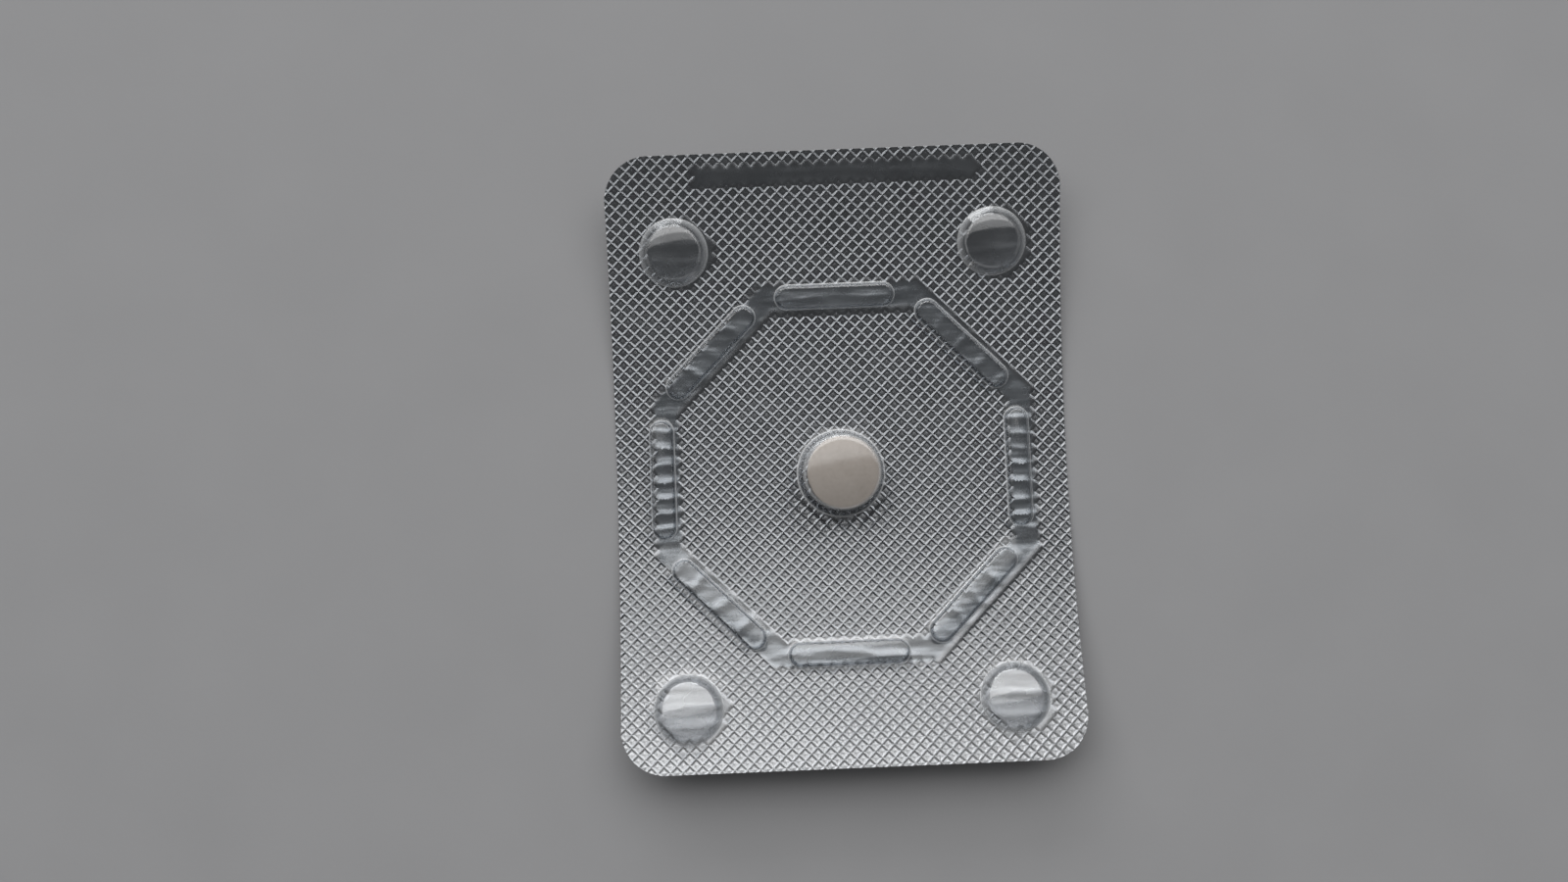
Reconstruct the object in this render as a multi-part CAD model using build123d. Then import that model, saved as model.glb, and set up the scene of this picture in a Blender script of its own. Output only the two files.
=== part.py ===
from build123d import *
from itertools import groupby
import math
import os

# A blister card for one tablet, lying with its pockets up. X runs across the card, Y along it
# and Z up. The origin is on the ground below the middle of the card. Lengths are millimetres.
# Places on the card are given flat, from its middle, and on_card bends them to the card's curl.

# Card: clear formed film with aluminium foil under it, die cut together. The gap between them
# is the seal lacquer.
card_width = 56.0
card_length = 75.6
corner_radius = 5.5
film_thickness = 0.25
foil_thickness = 0.04
seal_gap = 0.03
curl_radius = 129.0

# Embossed seal: square dents on the diagonal, pressed down into the film and through the foil.
# The real grid is about 1.1 from line to line. It is coarser here, to keep the faces few.
line_pitch = 2.5
dent_depth = 0.16
stud_depth = 0.14
# Studs that end this near the ground reach down to it, so that the card stands level
stand_reach = 0.06

# Smooth windows in the sealing plate, which lies a little to the right of the pockets
window_shift = 0.6
tablet_window = 11.6
round_window = 9.0
ring_window = 3.9
code_window_length = 35.5
code_window_width = 2.9
code_window_x = -0.4
code_window_inset = 3.4

# Layout: a tablet pocket in the middle, a round pocket near each corner, ribs on an octagon
layout_x = -0.2
layout_y = -2.1
round_inset_x = 8.35
round_inset_y = 9.7
rib_distance = 22.1
rib_count = 8

# Tablet: a straight band between two faces that slope to a flat middle
tablet_diameter = 9.0
tablet_flat_diameter = 4.6
tablet_band = 2.6
tablet_rise = 0.6
seat_gap = 0.02

# Pockets, measured outside. The film is thinner where it is drawn into a pocket.
pocket_wall = 0.18
side_gap = 0.75
top_gap = 0.35
tablet_pocket_draft = 7.0
tablet_pocket_bevel = 0.9
round_diameter = 8.5
round_height = 1.6
round_draft = 30.0
rib_length = 14.9
rib_width = 3.1
rib_height = 1.2
rib_draft = 20.0
foot_margin = 0.1
cut_through = 1.0

# Worked out from the sizes above
half_cell = line_pitch / math.sqrt(2)
film_base = stud_depth + foil_thickness + seal_gap
tablet_height = tablet_band + 2 * tablet_rise
tablet_pocket_height = seat_gap + tablet_height + top_gap + pocket_wall
tablet_pocket_diameter = tablet_diameter + 2 * (side_gap + pocket_wall)
round_x = card_width / 2 - round_inset_x
round_y = card_length / 2 - round_inset_y
code_window_y = card_length / 2 - code_window_inset
rows = math.ceil(card_length / 2 / half_cell) + 1
columns = math.ceil(card_width / 2 / half_cell) + 2


# Point of the bent card: x and y flat on the card, height above the film's underside
def on_card(x, y, height):
    turn = y / curl_radius
    reach = curl_radius - height
    return Vector(x, reach * math.sin(turn), film_base + curl_radius - reach * math.cos(turn))


# Place that stands square on the bent card, with its Z away from the foil
def seat_on_card(x, y, heading=0.0):
    turn = math.degrees(y / curl_radius)
    return Location(on_card(x, y, 0), (turn, 0, 0)) * Rotation(0, 0, heading)


# Point of the seal's grid, in half cells across and along the card
def grid_point(column, row, height):
    return on_card(column * half_cell, row * half_cell, height)


# Distance from the layout's middle, square to the nearest side of the octagon
def octagon_reach(x, y):
    turns = [2 * math.pi * side / rib_count for side in range(rib_count)]
    return max(x * math.cos(turn) + y * math.sin(turn) for turn in turns)


# Whether a point, from the layout's middle, lies in one of the given widths about its pockets
def in_layout(x, y, tablet_width, round_width, ring_width):
    in_tablet = math.hypot(x, y) < tablet_width / 2
    in_round = math.hypot(abs(x) - round_x, abs(y) - round_y) < round_width / 2
    in_ring = abs(octagon_reach(x, y) - rib_distance) < ring_width / 2
    return in_tablet or in_round or in_ring


def in_window(x, y):
    beside_code = abs(x - code_window_x) > code_window_length / 2
    above_or_below_code = abs(y - code_window_y) > code_window_width / 2
    in_code = not (beside_code or above_or_below_code)
    plate_x = x - layout_x - window_shift
    windows = [tablet_window, round_window, ring_window]
    return in_code or in_layout(plate_x, y - layout_y, *windows)


def in_pocket(x, y):
    margin = 2 * foot_margin
    feet = [tablet_pocket_diameter + margin, round_diameter + margin, rib_width + margin]
    return in_layout(x - layout_x, y - layout_y, *feet)


# A cell is pressed where the plate has no window, clear of the pockets and the raw sheet's rim
def is_pressed(column, row):
    x = column * half_cell
    y = row * half_cell
    corners = [(x - half_cell, y), (x, y - half_cell), (x + half_cell, y), (x, y + half_cell)]
    in_sheet = abs(column) < columns - 1 and abs(row) < rows
    clear = not any(in_pocket(*corner) for corner in corners)
    return in_sheet and clear and not in_window(x, y)


# The cells whose middles lie on every second point of the grid
def find_pressed_cells():
    spots = [(c, r) for r in range(-rows, rows + 1) for c in range(-columns, columns + 1)]
    return {(c, r) for c, r in spots if (c + r) % 2 == 0 and is_pressed(c, r)}


# Four slopes that fall from a cell's rim to its middle
def dent(column, row, height, depth):
    steps = [(-1, 0), (0, -1), (1, 0), (0, 1)]
    rim = [grid_point(column + dx, row + dy, height) for dx, dy in steps]
    tip = grid_point(column, row, height - depth)
    if tip.Z < stand_reach:
        tip = Vector(tip.X, tip.Y, 0)
    return [Face(Wire.make_polygon([a, b, tip])) for a, b in zip(rim, rim[1:] + rim[:1])]


# Whether a pressed cell has a corner at a point of the grid
def is_rim_corner(pressed, column, row):
    cells = [(column - 1, row), (column + 1, row), (column, row - 1), (column, row + 1)]
    return any(cell in pressed for cell in cells)


# Both ends of a stretch of one line of the grid, and the dents' corners between them
def line_points(pressed, first, last, row, height):
    corners = {c for c in range(first, last + 1) if is_rim_corner(pressed, c, row)}
    return [grid_point(c, row, height) for c in sorted(corners | {first, last})]


# Flat face over unpressed half cells, from first to last, between a line of the grid and the next
def plain_stretch(pressed, first, last, row, height):
    sides = []
    for line in (row, row + 1):
        start = max(-columns, first - (first + line + 1) % 2)
        end = min(columns, last + (last + line + 1) % 2)
        sides.append(line_points(pressed, start, end, line, height))
    near, far = sides
    return Face(Wire.make_polygon(near + far[::-1]))


# Bent surface with a dent in each pressed cell and flat faces between them
def pressed_surface(pressed, height, depth):
    faces = [face for cell in sorted(pressed) for face in dent(*cell, height, depth)]
    for row in range(-rows, rows):
        def is_dented(column):
            return (column, row + (column + row) % 2) in pressed
        for dented, stretch in groupby(range(-columns, columns + 1), is_dented):
            stretch = list(stretch)
            if not dented:
                faces.append(plain_stretch(pressed, stretch[0], stretch[-1], row, height))
    return faces


# Raw block between the pressed surface and its back, a strip of flat faces given by the left and
# right ends of the lines between them
def pressed_block(pressed, height, depth, back):
    lines = range(-rows, rows + 1)
    left, right = [[grid_point(end, row, height) for row in lines] for end in (-columns, columns)]
    near, far = [line_points(pressed, -columns, columns, end, height) for end in (-rows, rows)]
    back_left, back_right = [list(ends) for ends in zip(*back)]
    borders = [left + back_left[::-1], right + back_right[::-1]]
    borders += [near + [back_right[0], back_left[0]], far + [back_right[-1], back_left[-1]]]
    borders += [[a, b, d, c] for (a, b), (c, d) in zip(back, back[1:])]
    faces = [Face(Wire.make_polygon(border)) for border in borders]
    return Solid(Shell(pressed_surface(pressed, height, depth) + faces))


# Room inside the curl, down to a height over the film's underside
def inside_curl(height):
    reach = curl_radius - height
    axis = Pos(0, 0, film_base + curl_radius)
    return axis * Cylinder(reach, 2 * card_width, rotation=(0, 90, 0))


def card_outline():
    bent_length = 2 * on_card(0, card_length / 2, 0).Y
    return extrude(RectangleRounded(card_width, bent_length, corner_radius), curl_radius, both=True)


# Raised form with leaning walls and round ends, by its size at the film's upper side
def raised_form(length, width, height, draft, bevel, base):
    lean = math.tan(math.radians(draft))
    foot = width / 2 + (film_thickness - base) * lean
    top = width / 2 - (height - film_thickness) * lean
    level = Pos(0, 0, base)
    if length > width:
        plan = SlotOverall(length - width + 2 * foot, 2 * foot)
        return extrude(level * plan, height - base, taper=draft)
    body = level * Cone(foot, top, height - base, align=(Align.CENTER, Align.CENTER, Align.MIN))
    return chamfer(body.edges().sort_by(Axis.Z)[-1], bevel) if bevel else body


def outside(length, width, height, draft, bevel):
    return raised_form(length, width, height, draft, bevel, 0)


# The same form a wall's thickness further in, open through the underside of the film
def inside(length, width, height, draft, bevel):
    inset = 2 * pocket_wall / math.cos(math.radians(draft))
    inner_bevel = max(0, bevel - (2 - math.sqrt(2)) * pocket_wall)
    inner_height = height - pocket_wall
    return raised_form(length - inset, width - inset, inner_height, draft, inner_bevel, -cut_through)


def round_seats():
    places = [(x, y) for x in (-round_x, round_x) for y in (-round_y, round_y)]
    return [seat_on_card(layout_x + x, layout_y + y) for x, y in places]


# Each rib lies along its side of the octagon
def rib_seats():
    seats = []
    for side in range(rib_count):
        turn = 2 * math.pi * side / rib_count
        x = layout_x + rib_distance * math.cos(turn)
        y = layout_y + rib_distance * math.sin(turn)
        seats.append(seat_on_card(x, y, math.degrees(turn) + 90))
    return seats


# Every pocket's sizes and the places where it stands. Only the tablet pocket has a bevelled top.
def pocket_groups():
    tablet_plan = [tablet_pocket_diameter, tablet_pocket_diameter]
    tablet_shape = [tablet_pocket_height, tablet_pocket_draft, tablet_pocket_bevel]
    return [
        (tablet_plan + tablet_shape, [seat_on_card(layout_x, layout_y)]),
        ([round_diameter, round_diameter, round_height, round_draft, 0], round_seats()),
        ([rib_length, rib_width, rib_height, rib_draft, 0], rib_seats()),
    ]


# The pockets' feet end halfway through the web, and their hollows go right through it
def make_film(pressed):
    far_x = columns * half_cell
    far_y = grid_point(0, rows, film_thickness).Y
    level = [(Vector(-far_x, y, -cut_through), Vector(far_x, y, -cut_through)) for y in (-far_y, far_y)]
    feet = inside_curl(film_thickness / 2)
    outer = []
    hollows = []
    for shape, seats in pocket_groups():
        outer += [seat * outside(*shape) & feet for seat in seats]
        hollows += [seat * inside(*shape) for seat in seats]
    block = pressed_block(pressed, film_thickness, dent_depth, level)
    web = block & card_outline() & inside_curl(0)
    return web.fuse(*outer).cut(*hollows)


def make_foil(pressed):
    lines = range(-rows, rows + 1)
    top = [[grid_point(end, row, -seal_gap) for end in (-columns, columns)] for row in lines]
    return pressed_block(pressed, -seal_gap - foil_thickness, stud_depth, top) & card_outline()


# Round tablet lying on the foil
def make_tablet():
    radius = tablet_diameter / 2
    flat = tablet_flat_diameter / 2
    top = seat_gap + tablet_height
    lower = [(0, seat_gap), (flat, seat_gap), (radius, seat_gap + tablet_rise)]
    upper = [(radius, top - tablet_rise), (flat, top), (0, top)]
    half = make_face(Polyline(*lower, *upper, close=True))
    return seat_on_card(layout_x, layout_y) * revolve(Plane.XZ * half, Axis.Z)


pressed_cells = find_pressed_cells()
pieces = {
    "blister_film": make_film(pressed_cells),
    "lidding_foil": make_foil(pressed_cells),
    "tablet": make_tablet(),
}
os.makedirs("parts", exist_ok=True)
for name, piece in pieces.items():
    export_step(piece, f"parts/{name}.step")
    print(name, len(piece.solids()), "solid", len(piece.faces()), "faces", round(piece.volume, 1))
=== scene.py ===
import bpy
import math
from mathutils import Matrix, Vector, noise


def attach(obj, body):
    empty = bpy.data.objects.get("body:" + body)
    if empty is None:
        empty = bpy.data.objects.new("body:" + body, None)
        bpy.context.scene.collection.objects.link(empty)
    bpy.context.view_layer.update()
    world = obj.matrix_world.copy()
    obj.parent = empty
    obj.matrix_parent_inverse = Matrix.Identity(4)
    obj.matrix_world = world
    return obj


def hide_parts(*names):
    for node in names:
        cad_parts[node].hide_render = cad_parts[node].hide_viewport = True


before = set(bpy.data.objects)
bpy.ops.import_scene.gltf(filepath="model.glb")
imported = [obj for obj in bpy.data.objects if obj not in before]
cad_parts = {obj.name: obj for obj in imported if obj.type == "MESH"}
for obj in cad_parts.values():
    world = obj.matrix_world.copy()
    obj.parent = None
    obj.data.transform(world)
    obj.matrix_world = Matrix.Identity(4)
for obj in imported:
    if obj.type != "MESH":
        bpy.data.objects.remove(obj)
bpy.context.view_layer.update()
mm = 0.001
samePlace = 1e-6                # in metres: closer than this counts as the same height
cutLimit = 1e-7                 # in metres: how near to a cut a point is taken as on it
fourSides = ((1, 0), (-1, 0), (0, 1), (0, -1))

# The card lies with its pockets up. x runs across it and y along it. Sizes are in millimetres,
# flat, from the card's middle, with z = 0 at the film's underside. curlCard then bends each
# finished sheet.
card = {
    "width": 55.99,
    "length": 75.48,
    "cornerRadius": 5.5,
    "cornerCuts": 10,
    "filmThickness": 0.25,
    "pocketWall": 0.72,         # of the web's thickness
    "webReach": 0.05,           # film up to this far over the web has the web's thickness
    "curlRadius": 129.0,
    "restHeight": 0.21,         # film's underside over the table
    "smoothBelow": 26,          # edges blunter than this many degrees are shaded smooth
}

# Smooth windows in the seal, a little to the right of the pockets
windows = {
    "shift": 0.6,
    "tablet": 9.8,
    "round": 8.2,
    "ring": 3.4,
    "codeLength": 34.6,
    "codeWidth": 2.7,
    "codeX": 0.3,
    "codeY": 35.0,
}

layout = {
    "x": -0.2,
    "y": -2.1,
    "roundX": 19.65,
    "roundY": 28.1,
    "ribDistance": 22.1,
    "ribCount": 8,
}
pocketKinds = ("tablet", "round", "rib")
ribStep = 2 * math.pi / layout["ribCount"]
ribTurns = [side * ribStep for side in range(layout["ribCount"])]


def deselectAll():
    bpy.ops.object.select_all(action='DESELECT')


def pick(piece):
    deselectAll()
    piece.select_set(True)
    bpy.context.view_layer.objects.active = piece


def selectFaces(piece, wanted):
    pick(piece)
    bpy.ops.object.mode_set(mode='EDIT')
    bpy.ops.mesh.select_mode(type='FACE')
    bpy.ops.mesh.select_all(action='DESELECT')
    bpy.ops.object.mode_set(mode='OBJECT')
    for face in piece.data.polygons:
        face.select = wanted(face)
    bpy.ops.object.mode_set(mode='EDIT')


def selectPoints(piece, wanted):
    pick(piece)
    bpy.ops.object.mode_set(mode='EDIT')
    bpy.ops.mesh.select_mode(type='VERT')
    bpy.ops.mesh.select_all(action='DESELECT')
    bpy.ops.object.mode_set(mode='OBJECT')
    for point in piece.data.vertices:
        point.select = wanted(point.co)
    bpy.ops.object.mode_set(mode='EDIT')


def applyPlace():
    bpy.ops.object.transform_apply(location=True, rotation=True, scale=True)


def applyModifier(piece, modifier):
    pick(piece)
    bpy.ops.object.modifier_apply(modifier=modifier.name)


# How far inside a smooth window a place is. Below zero it is in the embossed seal.
def windowDepth(x, y):
    plateX = x - layout["x"] - windows["shift"]
    plateY = y - layout["y"]
    reach = max(plateX * math.cos(turn) + plateY * math.sin(turn) for turn in ribTurns)
    toRound = math.hypot(abs(plateX) - layout["roundX"], abs(plateY) - layout["roundY"])
    inCode = min(windows["codeLength"] / 2 - abs(x - windows["codeX"]),
                 windows["codeWidth"] / 2 - abs(y - windows["codeY"]))
    return max(windows["tablet"] / 2 - math.hypot(plateX, plateY),
               windows["round"] / 2 - toRound,
               windows["ring"] / 2 - abs(reach - layout["ribDistance"]),
               inCode)


# Seal: narrow ridges crossing on the diagonal, and in each cell a floor that swells like a pillow
seal = {
    "pitch": 1.08,
    "cells": 90,
    "side": 0.22,               # how far a cell's sides slope inwards
    "filmDepth": 0.05,
    "foilDepth": 0.09,
    "pillow": 0.25,             # how far the floor's swelling reaches inwards
    "pillowRise": 0.034,
    "spare": 1.5,               # cells kept past the card's edge before it is trimmed
    "areaSlack": 0.005,         # a whole cell's area is right within this share
}


# A square grid on the diagonal, a face for each cell, trimmed to just over the card's size
def addCellGrid(name, level):
    deselectAll()
    bpy.ops.mesh.primitive_grid_add(
        x_subdivisions=seal["cells"], y_subdivisions=seal["cells"],
        size=seal["cells"] * seal["pitch"] * mm,
        location=(0, 0, level * mm), rotation=(0, 0, math.radians(45)))
    applyPlace()
    sheet = bpy.context.object
    sheet.name = name
    spare = seal["spare"] * seal["pitch"]
    bpy.ops.object.mode_set(mode='EDIT')
    for x, y in fourSides:
        bpy.ops.mesh.select_all(action='SELECT')
        edge = ((card["width"] / 2 + spare) * x * mm, (card["length"] / 2 + spare) * y * mm, 0)
        bpy.ops.mesh.bisect(plane_co=edge, plane_no=(x, y, 0),
                            clear_outer=True, threshold=cutLimit)
    bpy.ops.object.mode_set(mode='OBJECT')
    return sheet


def isWholeCell(face, level):
    area = (seal["pitch"] * mm) ** 2
    return (len(face.vertices) == 4 and abs(face.area - area) < seal["areaSlack"] * area
            and face.normal.z > 0.99 and abs(face.center.z - level * mm) < samePlace)


# Each whole cell outside the windows gets sloping sides and a floor that swells a little
def embossCells(sheet, level, depth):
    def isSealed(face):
        return (isWholeCell(face, level)
                and windowDepth(face.center.x / mm, face.center.y / mm) < 0)
    selectFaces(sheet, isSealed)
    for inwards, upwards in ((seal["side"], -depth), (seal["pillow"], seal["pillowRise"])):
        bpy.ops.mesh.inset(thickness=inwards * mm, depth=upwards * mm, use_individual=True)
    bpy.ops.object.mode_set(mode='OBJECT')


# Cuts along the four sides and round the corners, closing the sheet's edge as it goes
def trimToCard(sheet):
    cuts = []
    for x, y in fourSides:
        cuts.append((x * card["width"] / 2, y * card["length"] / 2, x, y))
    for step in range(card["cornerCuts"]):
        turn = math.pi / 2 * (step + 0.5) / card["cornerCuts"]
        for signX in (1, -1):
            for signY in (1, -1):
                x = signX * math.cos(turn)
                y = signY * math.sin(turn)
                middleX = signX * (card["width"] / 2 - card["cornerRadius"])
                middleY = signY * (card["length"] / 2 - card["cornerRadius"])
                cuts.append((middleX + x * card["cornerRadius"],
                             middleY + y * card["cornerRadius"], x, y))
    pick(sheet)
    bpy.ops.object.mode_set(mode='EDIT')
    for atX, atY, x, y in cuts:
        bpy.ops.mesh.select_all(action='SELECT')
        bpy.ops.mesh.bisect(plane_co=(atX * mm, atY * mm, 0), plane_no=(x, y, 0),
                            clear_outer=True, use_fill=True, threshold=cutLimit)
    bpy.ops.object.mode_set(mode='OBJECT')


# Bends a flat sheet up at both ends, about a line across the card
def curlCard(sheet):
    deselectAll()
    bpy.ops.object.empty_add(rotation=(math.radians(90), 0, math.radians(90)))
    bendPlace = bpy.context.object
    curl = sheet.modifiers.new("curl", 'SIMPLE_DEFORM')
    curl.deform_method = 'BEND'
    curl.deform_axis = 'Z'
    curl.origin = bendPlace
    curl.angle = card["length"] / card["curlRadius"]
    bpy.context.view_layer.update()
    applyModifier(sheet, curl)
    bpy.data.objects.remove(bendPlace)
    sheet.location.z = card["restHeight"] * mm
    pick(sheet)
    applyPlace()


def finishShading(piece, angle):
    pick(piece)
    bpy.ops.object.shade_smooth_by_angle(angle=math.radians(angle))


# Pockets, measured outside from the top of the web. lean is in degrees from upright, foot is the
# radius of the flare and haze how white the tight bends are: partly whitened film, partly a
# painted highlight for the bright outlines of the pockets.
pockets = {
    "sink": 0.6,                # how deep a form reaches into the slab
    "crownRings": 4,
    "footSteps": 3,
    "edgeCuts": 5,
    "bendSlack": 0.005,
    # The next two place the whitening and painted highlight on the foot and on the top edge
    "footHazeAndHighlight": 0.7,            # the haze's reach, of the foot's radius
    "topHazeAndHighlight": 0.5,             # the haze's reach and its strength, of the top edge's rounding
    "tablet": {"length": 10.7, "width": 10.7, "height": 3.7, "lean": 7, "rounding": 0.7,
               "crown": 0.4, "foot": 0.25, "hazeAndHighlight": 1, "sides": 96},
    "round": {"length": 8.4, "width": 8.4, "height": 1.0, "lean": 42, "rounding": 0.25,
              "crown": 0.6, "foot": 0.2, "hazeAndHighlight": 0.5, "sides": 80},
    "rib": {"length": 14.8, "width": 3.0, "height": 0.95, "lean": 15, "rounding": 0.2,
            "crown": 0, "foot": 0.2, "hazeAndHighlight": 0.6, "sides": 40},
}


# Insets the chosen end by one ring and raises what is inside it
def stepIn(inwards, upwards):
    bpy.ops.mesh.inset(thickness=inwards * mm)
    bpy.ops.transform.translate(value=(0, 0, upwards * mm))


# Makes a flat round end a shallow dome, ring by ring
def raiseDome(radius, rise, rings, side):
    domeRadius = (radius ** 2 + rise ** 2) / (2 * rise)
    before = 0
    for ring in range(1, rings + 1):
        across = radius * (1 - ring / (rings + 1))
        height = rise - domeRadius + math.sqrt(domeRadius ** 2 - across ** 2)
        stepIn(radius / (rings + 1), side * (height - before))
        before = height


# A post with a flared foot, a leaning wall and a rounded top, a long one pulled out at both ends
def addPocketForm(size):
    deselectAll()
    slope = math.radians(90 - size["lean"])
    foot = size["foot"]
    wallStart = foot * math.sin(slope) - foot * (1 - math.cos(slope)) / math.tan(slope)
    reach = size["width"] / 2 + wallStart
    bpy.ops.mesh.primitive_cylinder_add(
        vertices=size["sides"], radius=reach * mm, depth=pockets["sink"] * mm,
        location=(0, 0, -pockets["sink"] / 2 * mm), rotation=(0, 0, math.pi / size["sides"]))
    applyPlace()
    form = bpy.context.object
    selectFaces(form, lambda face: face.normal.z > 0.99)
    radius = reach
    height = 0
    for step in range(1, pockets["footSteps"] + 1):
        turn = slope * step / pockets["footSteps"]
        nextRadius = reach - foot * math.sin(turn)
        nextHeight = foot * (1 - math.cos(turn))
        stepIn(radius - nextRadius, nextHeight - height)
        radius = nextRadius
        height = nextHeight
    top = size["width"] / 2 - size["height"] / math.tan(slope)
    stepIn(radius - top, size["height"] - height)
    if size["crown"]:
        raiseDome(top, size["crown"], pockets["crownRings"], 1)
    bpy.ops.object.mode_set(mode='OBJECT')
    selectPoints(form, lambda place: abs(place.z - size["height"] * mm) < samePlace)
    bpy.ops.mesh.bevel(offset=size["rounding"] * mm, offset_type='OFFSET',
                       segments=pockets["edgeCuts"], affect='EDGES')
    bpy.ops.object.mode_set(mode='OBJECT')
    stretch = (size["length"] - size["width"]) / 2
    for side in (1, -1):
        selectPoints(form, lambda place: place.x * side > 0)
        bpy.ops.transform.translate(value=(side * stretch * mm, 0, 0))
        bpy.ops.object.mode_set(mode='OBJECT')
    return form


# Where each kind of pocket stands: x, y and the way that it points, in radians
def pocketPlaces(kind):
    if kind == "tablet":
        return [(layout["x"], layout["y"], 0)]
    if kind == "round":
        return [(layout["x"] + x * layout["roundX"], layout["y"] + y * layout["roundY"], 0)
                for x in (-1, 1) for y in (-1, 1)]
    return [(layout["x"] + layout["ribDistance"] * math.cos(turn),
             layout["y"] + layout["ribDistance"] * math.sin(turn), turn + math.pi / 2)
            for turn in ribTurns]


def addAllPocketForms():
    forms = []
    for kind in pocketKinds:
        model = addPocketForm(pockets[kind])
        for x, y, heading in pocketPlaces(kind):
            pick(model)
            bpy.ops.object.duplicate(linked=False)
            copy = bpy.context.object
            copy.location = (x * mm, y * mm, card["filmThickness"] * mm)
            copy.rotation_euler = (0, 0, heading)
            applyPlace()
            forms.append(copy)
        bpy.data.objects.remove(model)
    pick(forms[0])
    for form in forms:
        form.select_set(True)
    bpy.ops.object.join()
    return bpy.context.object


# Above 0 on the tight bends at a pocket's foot and top edge, where the film whitens and a painted
# highlight draws the pocket's bright outline
def bendAmount(x, y, height):
    slack = pockets["bendSlack"]
    for kind in pocketKinds:
        size = pockets[kind]
        for middleX, middleY, heading in pocketPlaces(kind):
            if math.hypot(x - middleX, y - middleY) < size["length"] / 2 + 1:
                if slack < height < pockets["footHazeAndHighlight"] * size["foot"]:
                    return size["hazeAndHighlight"]
                topStart = size["height"] - pockets["topHazeAndHighlight"] * size["rounding"]
                atTop = topStart < height < size["height"] - slack
                return size["hazeAndHighlight"] * pockets["topHazeAndHighlight"] if atTop and kind != "rib" else 0.0
    return 0.0


def paintBends(film, level):
    bends = film.data.attributes.new("bend", 'FLOAT', 'POINT')
    for point in film.data.vertices:
        x, y, z = point.co / mm
        if z > level + pockets["bendSlack"]:
            bends.data[point.index].value = bendAmount(x, y, z - level)


# The grid is made a slab, the pocket forms are joined to it, and all but its upper skin is removed
def makeFilm():
    level = card["filmThickness"]
    film = addCellGrid("clearFilm", level)
    pick(film)
    bpy.ops.object.mode_set(mode='EDIT')
    bpy.ops.mesh.select_all(action='SELECT')
    slab = (0, 0, -2 * pockets["sink"] * mm)
    bpy.ops.mesh.extrude_region_move(TRANSFORM_OT_translate={"value": slab})
    bpy.ops.mesh.select_all(action='SELECT')
    bpy.ops.mesh.normals_make_consistent(inside=False)
    bpy.ops.object.mode_set(mode='OBJECT')
    forms = addAllPocketForms()
    union = film.modifiers.new("pockets", 'BOOLEAN')
    union.operation = 'UNION'
    union.solver = 'EXACT'
    union.object = forms
    applyModifier(film, union)
    bpy.data.objects.remove(forms)
    selectFaces(film, lambda face: face.center.z < (level - 0.001) * mm)
    bpy.ops.mesh.delete(type='FACE')
    bpy.ops.object.mode_set(mode='OBJECT')
    embossCells(film, level, seal["filmDepth"])
    paintBends(film, level)
    web = film.vertex_groups.new(name="web")
    webTop = (level + card["webReach"]) * mm
    web.add([point.index for point in film.data.vertices if point.co.z < webTop], 1.0, 'REPLACE')
    wall = film.modifiers.new("wall", 'SOLIDIFY')
    wall.thickness = card["filmThickness"] * mm
    wall.offset = -1
    wall.use_even_offset = True
    wall.use_quality_normals = True
    wall.vertex_group = "web"
    wall.thickness_vertex_group = card["pocketWall"]
    applyModifier(film, wall)
    trimToCard(film)
    curlCard(film)
    finishShading(film, card["smoothBelow"])
    return film


foilSheet = {
    "thickness": 0.03,
    "level": -0.06,
    "sidePitch": 2.0,           # of the creases under the ribs at the sides, across them
    "slantPitch": 3.5,          # under the slanting ribs, across them
    "levelPitch": 2.2,          # under the ribs at the two ends, along them
    "plainPitch": 2.5,          # elsewhere, across the card
    "creaseDepth": 0.12,
    "sag": 0.53,                # how far the foil hangs between folds, of the depth
    "sharpness": 3.5,           # how narrow the folds are
    "ribZone": 2.6,             # from a rib's middle line
    "ribSpare": 0.2,            # kept clear inside a rib's wall
    "endSpare": 0.8,            # kept clear at a rib's ends
    "foldEnd": 8.8,             # where the folds of a side of the octagon stop
    "foldFade": 1.8,
    "endFolds": 0.3,            # the least that they fade to
    "sideRoom": 0.3,            # of the room, away from the two side ribs
    "levelShift": 0.2,
    "roomForFolds": 0.8,        # folds under the ribs stand higher by this much of their height
    "creaseFade": 0.6,
    "calm": 0.4,                # creases under the round pockets and the code, of those elsewhere
    "calmRound": 6,             # how far that reaches from a round pocket's middle
    "calmCode": 3,              # and below the code strip's middle
    "strength": 0.75,           # of the folds on the whole, varied by foldNoise
    "leastStrength": 0.15,
    "cuts": 3,
    "smoothBelow": 24,
}

# How the folds wander and how strong they are from place to place
foldNoise = {
    "slow": {"scale": (0.11, 0.16), "seed": 4.2, "amount": 0.9},
    "quick": {"scale": (0.5, 0.35), "seed": 9.7, "amount": 0.3},
    "strength": {"scale": (0.12, 0.4), "seed": 1.3, "amount": 0.6},
}


def waver(kind, x, y):
    settings = foldNoise[kind]
    scaleX, scaleY = settings["scale"]
    return settings["amount"] * noise.noise(Vector((x * scaleX, y * scaleY, settings["seed"])))


# From 0 where the foil is sealed to 1 well inside a smooth window
def looseness(x, y):
    inside = min(1, max(0, windowDepth(x, y) / foilSheet["creaseFade"]))
    toRound = min(math.hypot(x - middleX, y - middleY)
                  for middleX, middleY, heading in pocketPlaces("round"))
    isCalm = toRound < foilSheet["calmRound"] or y > windows["codeY"] - foilSheet["calmCode"]
    calm = foilSheet["calm"] if isCalm else 1
    return calm * inside * inside * (3 - 2 * inside)


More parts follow.
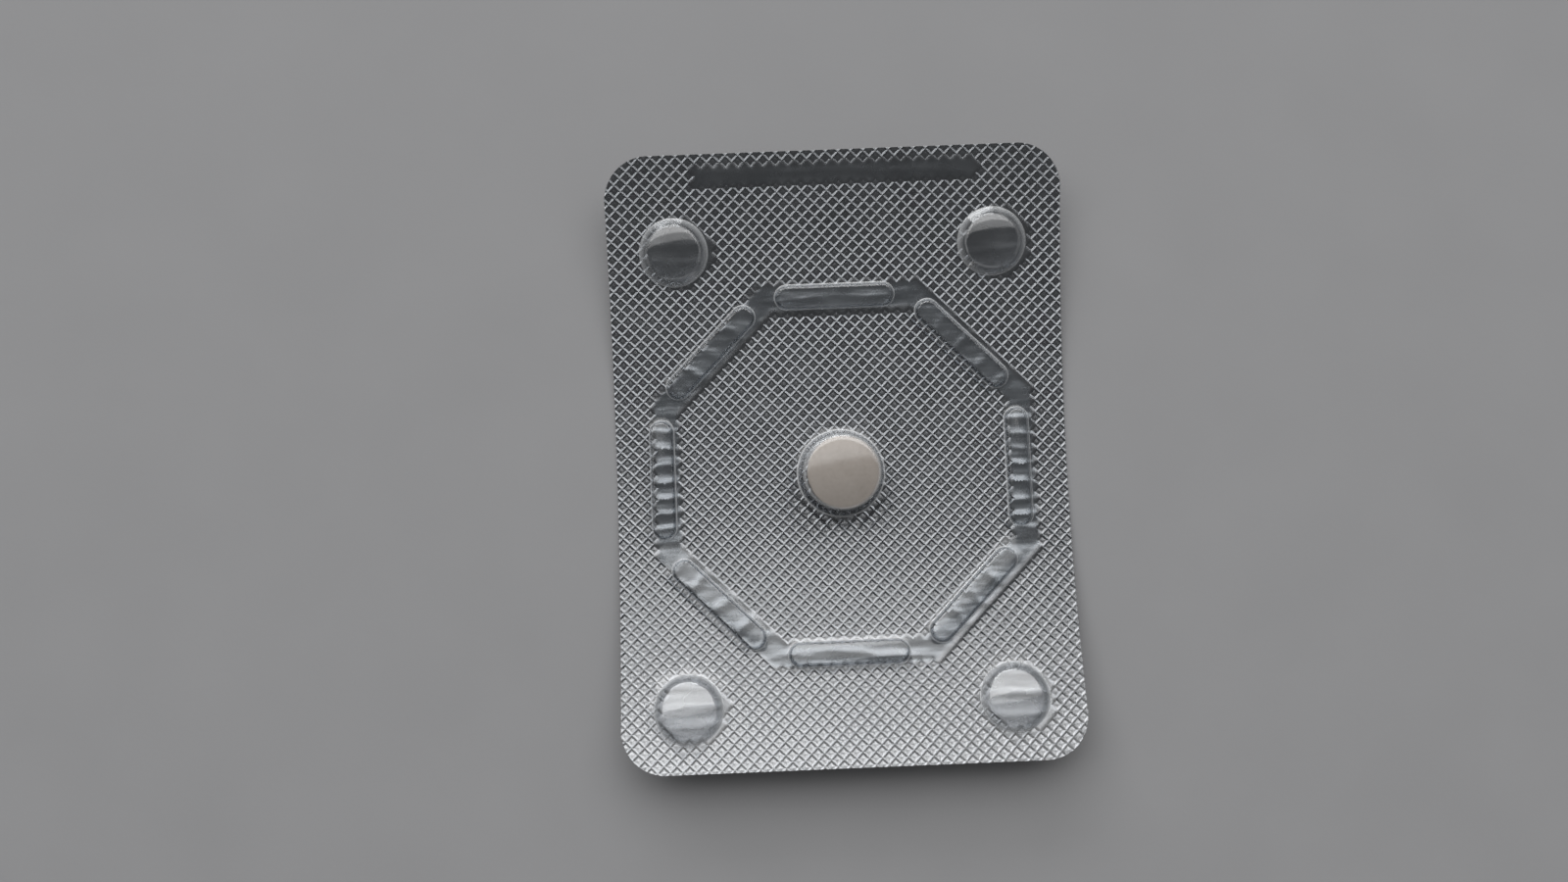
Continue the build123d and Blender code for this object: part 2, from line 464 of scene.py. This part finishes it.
# Where the foil isn't sealed it has narrow folds, because the curl pushes it together
def creaseDepth(x, y):
    plateX = x - layout["x"]
    plateY = y - layout["y"]
    turn = round(math.atan2(plateY, plateX) / ribStep) * ribStep
    reach = plateX * math.cos(turn) + plateY * math.sin(turn)
    along = plateY * math.cos(turn) - plateX * math.sin(turn)
    place, pitch, ends, room = y, foilSheet["plainPitch"], 1, 0
    fromRib = abs(reach - layout["ribDistance"])
    if fromRib < foilSheet["ribZone"]:
        rib = pockets["rib"]
        inside = rib["width"] / 2 - foilSheet["ribSpare"] - fromRib
        insideEnds = rib["length"] - foilSheet["endSpare"] - 2 * abs(along)
        room = min(1, max(0, 2 * inside), max(0, insideEnds))
        fade = (foilSheet["foldEnd"] - abs(along)) / foilSheet["foldFade"]
        ends = min(1, max(foilSheet["endFolds"], fade))
        sideways = abs(math.cos(turn))
        if sideways > 0.9:
            pitch = foilSheet["sidePitch"]
        elif sideways > 0.5:
            place = along
            pitch = foilSheet["slantPitch"]
            room *= foilSheet["sideRoom"]
        else:
            place = plateY - math.sin(turn) * layout["ribDistance"] + foilSheet["levelShift"]
            pitch = foilSheet["levelPitch"]
            room *= foilSheet["sideRoom"]
    drift = waver("slow", x, y) + waver("quick", x, y)
    wave = 0.5 + 0.5 * math.cos(2 * math.pi * (place + drift) / pitch)
    fold = wave ** foilSheet["sharpness"]
    strength = foilSheet["strength"] + waver("strength", x, y)
    strength = min(1, max(foilSheet["leastStrength"], strength))
    height = fold * ends * strength * (1 + foilSheet["roomForFolds"] * room)
    return foilSheet["creaseDepth"] * looseness(x, y) * (foilSheet["sag"] - height)


def makeFoil():
    level = foilSheet["level"]
    foil = addCellGrid("lidFoil", level)
    embossCells(foil, level, seal["foilDepth"])

    def isOpenCell(face):
        return (abs(face.center.z - level * mm) < samePlace
                and windowDepth(face.center.x / mm, face.center.y / mm) >= 0)
    selectFaces(foil, isOpenCell)
    bpy.ops.mesh.subdivide(number_cuts=foilSheet["cuts"])
    bpy.ops.object.mode_set(mode='OBJECT')
    loose = foil.data.attributes.new("loose", 'FLOAT', 'POINT')
    for point in foil.data.vertices:
        x = point.co.x / mm
        y = point.co.y / mm
        if abs(point.co.z - level * mm) < samePlace:
            point.co.z -= creaseDepth(x, y) * mm
            loose.data[point.index].value = looseness(x, y)
    wall = foil.modifiers.new("wall", 'SOLIDIFY')
    wall.thickness = foilSheet["thickness"] * mm
    wall.offset = -1
    applyModifier(foil, wall)
    trimToCard(foil)
    curlCard(foil)
    finishShading(foil, foilSheet["smoothBelow"])
    return foil


tablet = {
    "diameter": 9.0,
    "band": 2.1,
    "rise": 0.85,
    "rings": 7,
    "sides": 128,
    "edge": 0.1,
    "edgeCuts": 3,
    "edgeAngle": 40,
    "smoothBelow": 30,
    "seat": 0.06,               # over the foil's level
    "drift": 0.28,              # to the right of the pocket's middle
}


# A short cylinder whose ends are inset and raised ring by ring into shallow domes
def makeTablet():
    deselectAll()
    radius = tablet["diameter"] / 2
    bpy.ops.mesh.primitive_cylinder_add(vertices=tablet["sides"], radius=radius * mm,
                                        depth=tablet["band"] * mm)
    pill = bpy.context.object
    pill.name = "roundTablet"
    for side in (1, -1):
        selectFaces(pill, lambda face: face.normal.z * side > 0.9)
        raiseDome(radius, tablet["rise"], tablet["rings"], side)
        bpy.ops.object.mode_set(mode='OBJECT')
    edge = pill.modifiers.new("edge", 'BEVEL')
    edge.width = tablet["edge"] * mm
    edge.segments = tablet["edgeCuts"]
    edge.limit_method = 'ANGLE'
    edge.angle_limit = math.radians(tablet["edgeAngle"])
    applyModifier(pill, edge)
    turn = layout["y"] / card["curlRadius"]
    middle = tablet["seat"] + tablet["band"] / 2 + tablet["rise"] + foilSheet["level"]
    reach = card["curlRadius"] - middle
    pill.rotation_euler = (turn, 0, 0)
    pill.location = ((layout["x"] + tablet["drift"]) * mm, reach * math.sin(turn) * mm,
                     (card["restHeight"] + card["curlRadius"] - reach * math.cos(turn)) * mm)
    pick(pill)
    applyPlace()
    finishShading(pill, tablet["smoothBelow"])
    return pill


def newMaterial(name):
    material = bpy.data.materials.new(name)
    material.use_nodes = True
    return material, material.node_tree.nodes, material.node_tree.links


def dress(piece, material):
    piece.data.materials.clear()
    piece.data.materials.append(material)


# Object coordinates, scaled, for a pattern
def patternPlace(nodes, links, scale):
    place = nodes.new('ShaderNodeTexCoord')
    mapping = nodes.new('ShaderNodeMapping')
    mapping.inputs['Scale'].default_value = scale
    links.new(place.outputs['Object'], mapping.inputs['Vector'])
    return mapping.outputs['Vector']


def addNoise(nodes, links, scale, detail, stretch=(1, 1, 1)):
    texture = nodes.new('ShaderNodeTexNoise')
    texture.inputs['Scale'].default_value = scale
    texture.inputs['Detail'].default_value = detail
    links.new(patternPlace(nodes, links, stretch), texture.inputs['Vector'])
    return texture.outputs['Fac']


def addRange(nodes, links, source, low, high, fromLow=0.3, fromHigh=0.7):
    spread = nodes.new('ShaderNodeMapRange')
    spread.inputs['From Min'].default_value = fromLow
    spread.inputs['From Max'].default_value = fromHigh
    spread.inputs['To Min'].default_value = low
    spread.inputs['To Max'].default_value = high
    links.new(source, spread.inputs['Value'])
    return spread.outputs['Result']


def addRamp(nodes, links, source, stops):
    ramp = nodes.new('ShaderNodeValToRGB')
    while len(ramp.color_ramp.elements) < len(stops):
        ramp.color_ramp.elements.new(0.5)
    for element, (place, colour) in zip(ramp.color_ramp.elements, stops):
        element.position = place
        element.color = colour
    links.new(source, ramp.inputs['Fac'])
    return ramp.outputs['Color']


def addBump(nodes, links, source, strength, distance, under=None):
    bump = nodes.new('ShaderNodeBump')
    bump.inputs['Strength'].default_value = strength
    bump.inputs['Distance'].default_value = distance
    links.new(source, bump.inputs['Height'])
    if under:
        links.new(under, bump.inputs['Normal'])
    return bump.outputs['Normal']


# Rolled aluminium: fine lines from the rolls, cloudy dulling, a cool grey. Pairs are the low and
# high end of a range, and a bump's strength and distance.
foilLook = {
    "dull": (0.385, 0.388, 0.394, 1),
    "pale": (0.43, 0.432, 0.438, 1),
    "looseTint": (0.94, 0.975, 1, 1),
    "looseShine": 0.8,
    "roughness": (0.23, 0.31),
    "rolled": (0.12, 0.00002),
    "folded": (0.6, 0.00035),
}


def foilMaterial():
    material, nodes, links = newMaterial("rolledFoil")
    metal = nodes['Principled BSDF']
    cloud = addNoise(nodes, links, 260, 3)
    lines = addNoise(nodes, links, 1500, 2, (6, 0.5, 1))
    creases = addNoise(nodes, links, 620, 1.5, (0.22, 1, 1))
    loose = nodes.new('ShaderNodeAttribute')
    loose.attribute_name = "loose"
    shine = addRange(nodes, links, loose.outputs['Fac'], 1.0, foilLook["looseShine"], 0, 1)
    links.new(shine, metal.inputs['Metallic'])
    folds = nodes.new('ShaderNodeMath')
    folds.operation = 'MULTIPLY'
    links.new(addRange(nodes, links, creases, -0.5, 0.5, 0, 1), folds.inputs[0])
    links.new(loose.outputs['Fac'], folds.inputs[1])
    colour = addRamp(nodes, links, cloud,
                     [(0.3, foilLook["dull"]), (0.7, foilLook["pale"])])
    tint = nodes.new('ShaderNodeMix')
    tint.data_type = 'RGBA'
    tint.blend_type = 'MULTIPLY'
    tint.inputs['B'].default_value = foilLook["looseTint"]
    links.new(loose.outputs['Fac'], tint.inputs['Factor'])
    links.new(colour, tint.inputs['A'])
    links.new(tint.outputs['Result'], metal.inputs['Base Color'])
    links.new(addRange(nodes, links, cloud, *foilLook["roughness"]), metal.inputs['Roughness'])
    rolled = addBump(nodes, links, lines, *foilLook["rolled"])
    folded = addBump(nodes, links, folds.outputs['Value'], *foilLook["folded"], rolled)
    links.new(folded, metal.inputs['Normal'])
    return material


# Clear film: light goes straight through, with a gloss that grows towards grazing angles.
# Its tint darkens as the film turns edge-on: painted shade for the dark lines along the pocket
# walls
filmLook = {
    # The tint grows darker towards grazing angles: painted shade that makes steep pocket walls
    # read as dark lines
    "tint": [(0, (0.965, 0.97, 0.975, 1)), (0.15, (0.95, 0.955, 0.965, 1)),
             (0.45, (0.78, 0.795, 0.81, 1)), (1, (0.46, 0.48, 0.51, 1))],
    "roughness": (0.085, 0.115),
    "gloss": (0.08, 0.9),       # seen straight on and at a grazing angle
    "glossPower": 4,
    # A white diffuse on the tight bends: partly whitened film, partly a painted highlight for the
    # bright pocket outlines
    "hazeAndHighlight": (0.0, 0.5),
    "hazeAndHighlightColour": (0.8, 0.81, 0.82, 1),
}


def filmMaterial():
    material, nodes, links = newMaterial("clearFormedFilm")
    nodes.remove(nodes['Principled BSDF'])
    output = nodes['Material Output']
    facing = nodes.new('ShaderNodeLayerWeight')
    facing.inputs['Blend'].default_value = 0.5
    clear = nodes.new('ShaderNodeBsdfTransparent')
    # The tint darkens the film where it turns edge-on: painted shade along the pocket walls
    tint = addRamp(nodes, links, facing.outputs['Facing'], filmLook["tint"])
    links.new(tint, clear.inputs['Color'])
    gloss = nodes.new('ShaderNodeBsdfGlossy')
    gloss.inputs['Color'].default_value = (1, 1, 1, 1)
    scuffs = addNoise(nodes, links, 700, 4)
    links.new(addRange(nodes, links, scuffs, *filmLook["roughness"]), gloss.inputs['Roughness'])
    power = nodes.new('ShaderNodeMath')
    power.operation = 'POWER'
    power.inputs[1].default_value = filmLook["glossPower"]
    links.new(facing.outputs['Facing'], power.inputs[0])
    amount = addRange(nodes, links, power.outputs['Value'], *filmLook["gloss"], 0, 1)
    mix = nodes.new('ShaderNodeMixShader')
    links.new(amount, mix.inputs['Fac'])
    links.new(clear.outputs['BSDF'], mix.inputs[1])
    links.new(gloss.outputs['BSDF'], mix.inputs[2])
    # White diffuse on the tight bends, partly whitened film and partly a painted highlight along
    # the pocket outlines
    bend = nodes.new('ShaderNodeAttribute')
    bend.attribute_name = "bend"
    hazeAndHighlight = nodes.new('ShaderNodeBsdfDiffuse')
    hazeAndHighlight.inputs['Color'].default_value = filmLook["hazeAndHighlightColour"]
    hazedAndHighlighted = nodes.new('ShaderNodeMixShader')
    hazeAndHighlightAmount = addRange(nodes, links, bend.outputs['Fac'], *filmLook["hazeAndHighlight"], 0, 1)
    links.new(hazeAndHighlightAmount, hazedAndHighlighted.inputs['Fac'])
    links.new(mix.outputs['Shader'], hazedAndHighlighted.inputs[1])
    links.new(hazeAndHighlight.outputs['BSDF'], hazedAndHighlighted.inputs[2])
    links.new(hazedAndHighlighted.outputs['Shader'], output.inputs['Surface'])
    return material


# Pressed powder: off white, with faint grains and a fine tooth
tabletLook = {
    "grains": [(0.3, (0.9, 0.885, 0.86, 1)), (0.5, (0.97, 0.965, 0.955, 1)),
               (0.75, (1, 1, 1, 1))],
    "patches": [(0.3, (0.645, 0.562, 0.49, 1)), (0.7, (0.69, 0.607, 0.535, 1))],
    "roughness": (0.62, 0.78),
    "tooth": (0.25, 0.00004),
}


def tabletMaterial():
    material, nodes, links = newMaterial("pressedPowder")
    powder = nodes['Principled BSDF']
    grains = addNoise(nodes, links, 2600, 5)
    patches = addNoise(nodes, links, 420, 2)
    mix = nodes.new('ShaderNodeMix')
    mix.data_type = 'RGBA'
    mix.blend_type = 'MULTIPLY'
    mix.inputs['Factor'].default_value = 1.0
    grainColour = addRamp(nodes, links, grains, tabletLook["grains"])
    patchColour = addRamp(nodes, links, patches, tabletLook["patches"])
    links.new(grainColour, mix.inputs['A'])
    links.new(patchColour, mix.inputs['B'])
    links.new(mix.outputs['Result'], powder.inputs['Base Color'])
    links.new(addRange(nodes, links, grains, *tabletLook["roughness"]), powder.inputs['Roughness'])
    links.new(addBump(nodes, links, grains, *tabletLook["tooth"]), powder.inputs['Normal'])
    return material


# Painted table top: pale grey, very faintly mottled
tableLook = {
    "mottle": [(0.3, (0.338, 0.337, 0.344, 1)), (0.7, (0.352, 0.351, 0.358, 1))],
    "specular": 0.15,
    "roughness": (0.75, 0.85),
    "tooth": (0.15, 0.00005),
}


def tableMaterial():
    material, nodes, links = newMaterial("paintedTable")
    paint = nodes['Principled BSDF']
    mottle = addNoise(nodes, links, 60, 4)
    grain = addNoise(nodes, links, 1800, 3)
    colour = addRamp(nodes, links, mottle, tableLook["mottle"])
    links.new(colour, paint.inputs['Base Color'])
    paint.inputs['Specular IOR Level'].default_value = tableLook["specular"]
    links.new(addRange(nodes, links, mottle, *tableLook["roughness"]), paint.inputs['Roughness'])
    links.new(addBump(nodes, links, grain, *tableLook["tooth"]), paint.inputs['Normal'])
    return material


view = {
    "place": (-0.008479, -0.005726, 0.146742),
    "turn": (3.109, -0.409, -2.272),
    "lens": 27.0,
    "sensor": 36,
    "clipStart": 0.005,
}


def addCamera():
    deselectAll()
    turn = [math.radians(angle) for angle in view["turn"]]
    bpy.ops.object.camera_add(location=view["place"], rotation=turn)
    camera = bpy.context.object
    camera.data.lens = view["lens"]
    camera.data.sensor_width = view["sensor"]
    camera.data.clip_start = view["clipStart"]
    bpy.context.scene.camera = camera


# A pale ceiling from just past overhead to well beyond the card's far end, a low window beyond it,
# and dim walls on the other sides, which the foil mirrors when it is seen low
roomWhite = (1, 0.997, 0.992)
lamps = {
    "ceilingNear": {"place": (0.0, 0.455, 1.8), "turn": (0, 0, 7), "size": (5.1, 0.4),
                    "power": 4.8, "colour": roomWhite},
    "ceilingFar": {"place": (0.0, 1.895, 1.8), "turn": (0, 0, 7), "size": (5.1, 2.48),
                   "power": 84.0, "colour": roomWhite},
    "window": {"place": (-0.75, 3.4, 1.35), "turn": (-68, 0, 12), "size": (3.6, 0.9),
               "power": 52.0, "colour": (0.97, 0.985, 1)},
    "wallNear": {"place": (0.0, -3.4, 1.35), "turn": (68, 0, 0), "size": (3.6, 1.6),
                 "power": 5.0, "colour": roomWhite},
    "wallLeft": {"place": (-3.4, 0.0, 1.35), "turn": (68, 0, -90), "size": (3.6, 1.6),
                 "power": 5.0, "colour": roomWhite},
    "wallRight": {"place": (3.4, 0.0, 1.35), "turn": (68, 0, 90), "size": (3.6, 1.6),
                  "power": 5.0, "colour": roomWhite},
}
sky = {"colour": (0.94, 0.97, 1.0, 1), "strength": 0.075}
tableSize = 3


def addLamp(name, settings):
    deselectAll()
    turn = [math.radians(angle) for angle in settings["turn"]]
    bpy.ops.object.light_add(type='AREA', location=settings["place"], rotation=turn)
    lamp = bpy.context.object
    lamp.name = name
    lamp.data.shape = 'RECTANGLE'
    lamp.data.size, lamp.data.size_y = settings["size"]
    lamp.data.energy = settings["power"]
    lamp.data.color = settings["colour"]


def addRoom():
    deselectAll()
    bpy.ops.mesh.primitive_plane_add(size=tableSize)
    table = bpy.context.object
    table.name = "tableTop"
    dress(table, tableMaterial())
    for name, settings in lamps.items():
        addLamp(name, settings)
    world = bpy.data.worlds.new("room")
    bpy.context.scene.world = world
    world.use_nodes = True
    background = world.node_tree.nodes['Background']
    background.inputs['Color'].default_value = sky["colour"]
    background.inputs['Strength'].default_value = sky["strength"]


pieces = [
    ("blister_film", "clear_film", makeFilm, filmMaterial),
    ("lidding_foil", "foil", makeFoil, foilMaterial),
    ("tablet", "tablet", makeTablet, tabletMaterial),
]
for node, slot, make, material in pieces:
    piece = make()
    dress(piece, material())
    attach(piece, "root")
    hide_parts(node)
    print(node, "made with", len(piece.data.polygons), "faces")

addRoom()
addCamera()
bpy.context.scene.view_settings.view_transform = 'Standard'
print("room and camera set")
